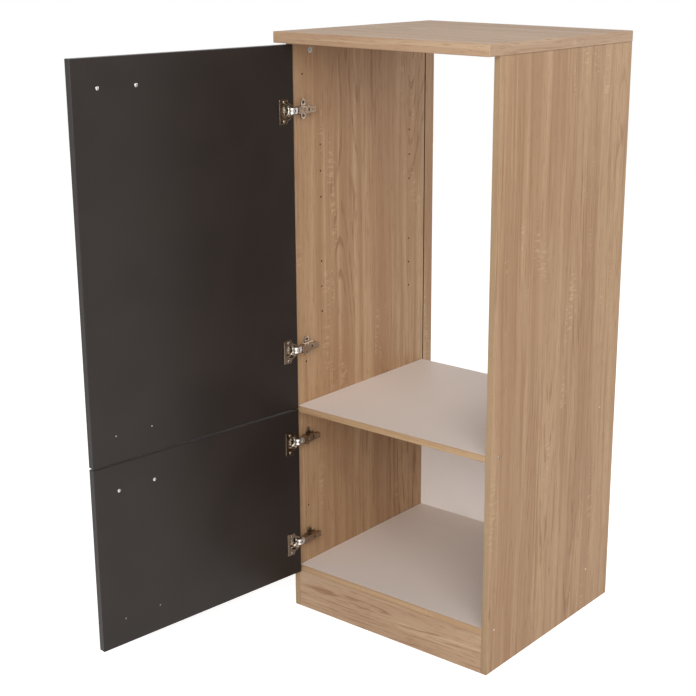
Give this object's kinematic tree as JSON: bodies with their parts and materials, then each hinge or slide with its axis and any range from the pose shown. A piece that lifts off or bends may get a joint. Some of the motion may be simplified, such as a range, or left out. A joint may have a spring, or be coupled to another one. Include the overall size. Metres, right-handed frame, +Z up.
{
  "type": "fridge housing unit",
  "caption": "Tall open-backed kitchen unit for a built-in fridge, with a compartment below, a thick overhanging top and plain dark doors open on concealed cup hinges.",
  "frame": {"origin": "on the floor under the middle of the plinth board, half way across the carcass", "axes": "+Z up, +X to the right seen from the front, -Y towards the user"},
  "size_m": [0.6781, 1.1554, 1.457],
  "materials": {
    "light_oak_decor": "satin wood-effect foil on chipboard",
    "grey_white_melamine": "satin melamine on chipboard",
    "white_back_board": "white faced thin fibreboard",
    "anthracite_lacquer": "satin anthracite lacquer on fibreboard",
    "nickel_plate": "nickel-plated pressed steel",
    "zinc_plated_steel": "satin plated steel",
    "cast_zinc": "dull cast zinc"
  },
  "bodies": {
    "carcass": {"left_side_panel": "light_oak_decor", "right_side_panel": "light_oak_decor", "top_board": "light_oak_decor", "base_panel": "grey_white_melamine", "fridge_shelf": "grey_white_melamine", "plinth_board": "light_oak_decor", "back_panel": "white_back_board", "cam_fitting_left_front": "cast_zinc", "shelf_screw_left_front": "zinc_plated_steel", "cam_fitting_left_back": "cast_zinc", "shelf_screw_left_back": "zinc_plated_steel", "cam_fitting_right_front": "cast_zinc", "shelf_screw_right_front": "zinc_plated_steel", "cam_fitting_right_back": "cast_zinc", "shelf_screw_right_back": "zinc_plated_steel", "hinge_1_mounting_plate": "nickel_plate", "hinge_1_arm": "nickel_plate", "hinge_1_plate_screw_upper": "zinc_plated_steel", "hinge_1_plate_screw_lower": "zinc_plated_steel", "hinge_2_mounting_plate": "nickel_plate", "hinge_2_arm": "nickel_plate", "hinge_2_plate_screw_upper": "zinc_plated_steel", "hinge_2_plate_screw_lower": "zinc_plated_steel", "hinge_3_mounting_plate": "nickel_plate", "hinge_3_arm": "nickel_plate", "hinge_3_plate_screw_upper": "zinc_plated_steel", "hinge_3_plate_screw_lower": "zinc_plated_steel", "hinge_4_mounting_plate": "nickel_plate", "hinge_4_arm": "nickel_plate", "hinge_4_plate_screw_upper": "zinc_plated_steel", "hinge_4_plate_screw_lower": "zinc_plated_steel"},
    "upper_door": {"upper_door": "anthracite_lacquer", "upper_handle": "zinc_plated_steel", "upper_handle_screw_outer": "zinc_plated_steel", "upper_handle_screw_inner": "zinc_plated_steel", "hinge_1_cup_screw_upper": "zinc_plated_steel", "hinge_1_cup_screw_lower": "zinc_plated_steel", "hinge_1_cup": "nickel_plate", "hinge_2_cup_screw_upper": "zinc_plated_steel", "hinge_2_cup_screw_lower": "zinc_plated_steel", "hinge_2_cup": "nickel_plate"},
    "lower_door": {"lower_door": "anthracite_lacquer", "lower_handle": "zinc_plated_steel", "lower_handle_screw_outer": "zinc_plated_steel", "lower_handle_screw_inner": "zinc_plated_steel", "hinge_3_cup_screw_upper": "zinc_plated_steel", "hinge_3_cup_screw_lower": "zinc_plated_steel", "hinge_3_cup": "nickel_plate", "hinge_4_cup_screw_upper": "zinc_plated_steel", "hinge_4_cup_screw_lower": "zinc_plated_steel", "hinge_4_cup": "nickel_plate"},
    "hinge_1_outer_link": {"hinge_1_outer_link": "nickel_plate"},
    "hinge_1_inner_link": {"hinge_1_inner_link": "nickel_plate"},
    "hinge_2_outer_link": {"hinge_2_outer_link": "nickel_plate"},
    "hinge_2_inner_link": {"hinge_2_inner_link": "nickel_plate"},
    "hinge_3_outer_link": {"hinge_3_outer_link": "nickel_plate"},
    "hinge_3_inner_link": {"hinge_3_inner_link": "nickel_plate"},
    "hinge_4_outer_link": {"hinge_4_outer_link": "nickel_plate"},
    "hinge_4_inner_link": {"hinge_4_inner_link": "nickel_plate"}
  },
  "joints": [
    {"name": "hinge_1_outer_link_turn", "type": "hinge", "parent": "carcass", "child": "hinge_1_outer_link", "pos_m": [-0.269, -0.005, 1.275], "axis": [0, 0, -1], "range_deg": [-2.8, 30.8]},
    {"name": "hinge_1_inner_link_turn", "type": "hinge", "parent": "carcass", "child": "hinge_1_inner_link", "pos_m": [-0.2755, -0.0019, 1.275], "axis": [0, 0, -1], "range_deg": [-3.9, 43.2]},
    {"name": "hinge_2_outer_link_turn", "type": "hinge", "parent": "carcass", "child": "hinge_2_outer_link", "pos_m": [-0.269, -0.005, 0.694], "axis": [0, 0, -1], "range_deg": [-2.8, 30.8]},
    {"name": "hinge_2_inner_link_turn", "type": "hinge", "parent": "carcass", "child": "hinge_2_inner_link", "pos_m": [-0.2755, -0.0019, 0.694], "axis": [0, 0, -1], "range_deg": [-3.9, 43.2]},
    {"name": "hinge_3_outer_link_turn", "type": "hinge", "parent": "carcass", "child": "hinge_3_outer_link", "pos_m": [-0.269, -0.005, 0.456], "axis": [0, 0, -1], "range_deg": [-2.8, 30.8]},
    {"name": "hinge_3_inner_link_turn", "type": "hinge", "parent": "carcass", "child": "hinge_3_inner_link", "pos_m": [-0.2755, -0.0019, 0.456], "axis": [0, 0, -1], "range_deg": [-3.9, 43.2]},
    {"name": "hinge_4_outer_link_turn", "type": "hinge", "parent": "carcass", "child": "hinge_4_outer_link", "pos_m": [-0.269, -0.005, 0.186], "axis": [0, 0, -1], "range_deg": [-2.8, 30.8]},
    {"name": "hinge_4_inner_link_turn", "type": "hinge", "parent": "carcass", "child": "hinge_4_inner_link", "pos_m": [-0.2755, -0.0019, 0.186], "axis": [0, 0, -1], "range_deg": [-3.9, 43.2]},
    {"name": "upper_door_turn", "type": "hinge", "parent": "hinge_1_outer_link", "child": "upper_door", "pos_m": [-0.27972, -0.02416, 0.9845], "axis": [0, 0, -1], "range_deg": [-127.2, 11.2]},
    {"name": "lower_door_turn", "type": "hinge", "parent": "hinge_3_outer_link", "child": "lower_door", "pos_m": [-0.27972, -0.02416, 0.321], "axis": [0, 0, -1], "range_deg": [-127.2, 11.2]}
  ],
  "couplings": [
    {"joint": "hinge_1_outer_link_turn", "follows": "upper_door_turn", "ratio": -0.24135},
    {"joint": "hinge_1_inner_link_turn", "follows": "upper_door_turn", "ratio": -0.33868},
    {"joint": "hinge_2_outer_link_turn", "follows": "upper_door_turn", "ratio": -0.24135},
    {"joint": "hinge_2_inner_link_turn", "follows": "upper_door_turn", "ratio": -0.33868},
    {"joint": "hinge_3_outer_link_turn", "follows": "lower_door_turn", "ratio": -0.24135},
    {"joint": "hinge_3_inner_link_turn", "follows": "lower_door_turn", "ratio": -0.33868},
    {"joint": "hinge_4_outer_link_turn", "follows": "lower_door_turn", "ratio": -0.24135},
    {"joint": "hinge_4_inner_link_turn", "follows": "lower_door_turn", "ratio": -0.33868}
  ]
}
